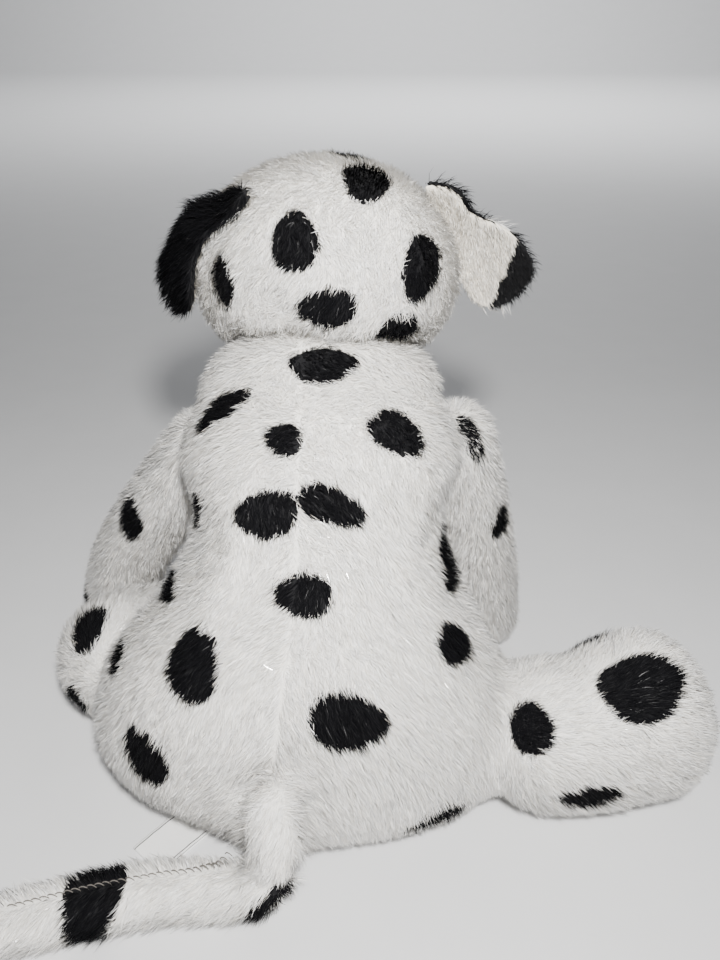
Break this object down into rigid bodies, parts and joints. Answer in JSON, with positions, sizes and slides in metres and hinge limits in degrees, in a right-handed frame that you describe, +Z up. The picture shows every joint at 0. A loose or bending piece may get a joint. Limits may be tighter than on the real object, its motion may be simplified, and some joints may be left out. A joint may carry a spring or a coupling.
{
  "type": "seated plush dog",
  "caption": "Seated soft toy puppy with a sewn pile skin, floppy ears, stretched-out limbs, a long tail, loose filling and a pellet-weighted seat.",
  "frame": {"origin": "on the flat underside of the seat, on the puppy's middle plane", "axes": "+Z up, +Y the way the puppy faces, +X towards its own right-hand side as seen from behind"},
  "size_m": [0.2476, 0.2279, 0.2069],
  "materials": {
    "spotted_plush": "short glossy pile, white with black spots",
    "black_plush": "short glossy pile, black",
    "ear_lining": "very short cream pile",
    "fibre_filling": "loose polyester fibre",
    "pellet_pouch": "plain woven bag of plastic pellets",
    "eye_plastic": "polished black",
    "nose_plastic": "polished black",
    "washer_plastic": "moulded natural white",
    "thread": "black embroidery thread",
    "label_satin": "folded white satin ribbon"
  },
  "bodies": {
    "torso": {"back_panel_left": "spotted_plush", "back_panel_right": "spotted_plush", "belly_panel": "spotted_plush", "torso_stuffing": "fibre_filling", "pellet_pouch": "pellet_pouch"},
    "head": {"head_side_left": "spotted_plush", "head_side_right": "spotted_plush", "head_gusset": "spotted_plush", "chin_panel": "spotted_plush", "head_stuffing": "fibre_filling", "eye_left": "eye_plastic", "eye_right": "eye_plastic", "eye_washer_left": "washer_plastic", "eye_washer_right": "washer_plastic", "nose": "nose_plastic", "nose_washer": "washer_plastic", "mouth_stitches": "thread"},
    "ear_left": {"ear_left_outer": "black_plush", "ear_left_lining": "ear_lining"},
    "ear_right": {"ear_right_outer": "spotted_plush", "ear_right_lining": "ear_lining"},
    "front_leg_left": {"front_leg_left_outer": "spotted_plush", "front_leg_left_inner": "spotted_plush", "front_leg_left_stuffing": "fibre_filling"},
    "front_leg_right": {"front_leg_right_outer": "spotted_plush", "front_leg_right_inner": "spotted_plush", "front_leg_right_stuffing": "fibre_filling"},
    "hind_leg_left": {"hind_leg_left_upper": "spotted_plush", "hind_leg_left_lower": "spotted_plush", "hind_leg_left_stuffing": "fibre_filling"},
    "hind_leg_right": {"hind_leg_right_upper": "spotted_plush", "hind_leg_right_lower": "spotted_plush", "hind_leg_right_stuffing": "fibre_filling"},
    "tail": {"tail_skin": "spotted_plush", "tail_stuffing": "fibre_filling"},
    "care_label": {"care_label": "label_satin"}
  },
  "joints": [
    {"name": "head_nod", "type": "hinge", "parent": "torso", "child": "head", "pos_m": [0, 0.036, 0.13], "axis": [1, 0, 0], "range_deg": [-20, 15], "stiffness_Nm_per_rad": 0.6},
    {"name": "ear_left_flap", "type": "hinge", "parent": "head", "child": "ear_left", "pos_m": [-0.02572, 0.04804, 0.20062], "axis": [0.2406, 0.965, -0.1045], "range_deg": [0, 60], "stiffness_Nm_per_rad": 0.02},
    {"name": "ear_right_flap", "type": "hinge", "parent": "head", "child": "ear_right", "pos_m": [0.04204, 0.05942, 0.19382], "axis": [-0.2406, -0.965, 0.1045], "range_deg": [0, 35], "stiffness_Nm_per_rad": 0.02},
    {"name": "front_leg_left_swing", "type": "hinge", "parent": "torso", "child": "front_leg_left", "pos_m": [-0.044, 0.046, 0.106], "axis": [1, 0, 0], "range_deg": [0, 45], "stiffness_Nm_per_rad": 0.1},
    {"name": "front_leg_right_swing", "type": "hinge", "parent": "torso", "child": "front_leg_right", "pos_m": [0.049, 0.044, 0.11], "axis": [1, 0, 0], "range_deg": [0, 50], "stiffness_Nm_per_rad": 0.1},
    {"name": "hind_leg_left_splay", "type": "hinge", "parent": "torso", "child": "hind_leg_left", "pos_m": [-0.08, 0.022, 0.025], "axis": [0, 0, 1], "range_deg": [-8, 0], "stiffness_Nm_per_rad": 0.1},
    {"name": "hind_leg_right_splay", "type": "hinge", "parent": "torso", "child": "hind_leg_right", "pos_m": [0.08, -0.02, 0.0265], "axis": [0, 0, 1], "range_deg": [-10, 40], "stiffness_Nm_per_rad": 0.1},
    {"name": "tail_wag", "type": "hinge", "parent": "torso", "child": "tail", "pos_m": [-0.013, -0.061, 0.038], "axis": [0, 0, 1], "range_deg": [-4, 35], "stiffness_Nm_per_rad": 0.05},
    {"name": "care_label_flap", "type": "hinge", "parent": "torso", "child": "care_label", "pos_m": [-0.041, -0.0334, 0.0002], "axis": [-0.7547, 0.6561, 0], "range_deg": [0, 32], "stiffness_Nm_per_rad": 0.0005}
  ]
}
